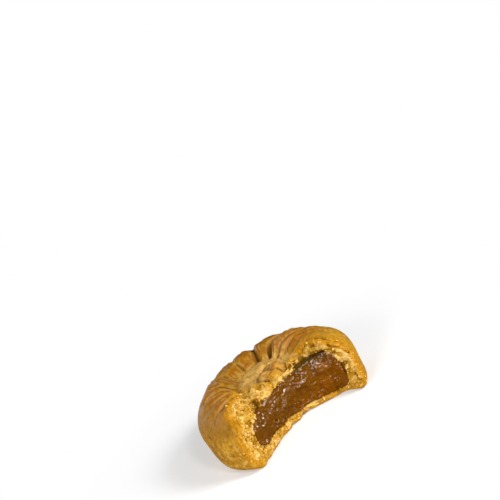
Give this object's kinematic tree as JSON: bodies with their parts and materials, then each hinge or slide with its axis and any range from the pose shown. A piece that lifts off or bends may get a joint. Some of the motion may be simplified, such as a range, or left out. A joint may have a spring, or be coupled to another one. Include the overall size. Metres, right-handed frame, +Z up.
{
  "type": "date-filled maamoul cookie, bitten",
  "caption": "Thick round moulded semolina cookie with a fluted top and a central button, bitten at one side so that the date paste filling shows.",
  "frame": {"origin": "the cookie's axis at its flat base", "axes": "+Z up through the moulded top, -Y towards the bite"},
  "size_m": [0.0564, 0.0469, 0.0207],
  "materials": {
    "crust": "baked semolina dough, matte golden brown, crumbly where bitten",
    "date_filling": "moist date paste, glossy dark amber brown"
  },
  "bodies": {
    "root": {"crust": "crust", "date_filling": "date_filling"}
  },
  "joints": []
}
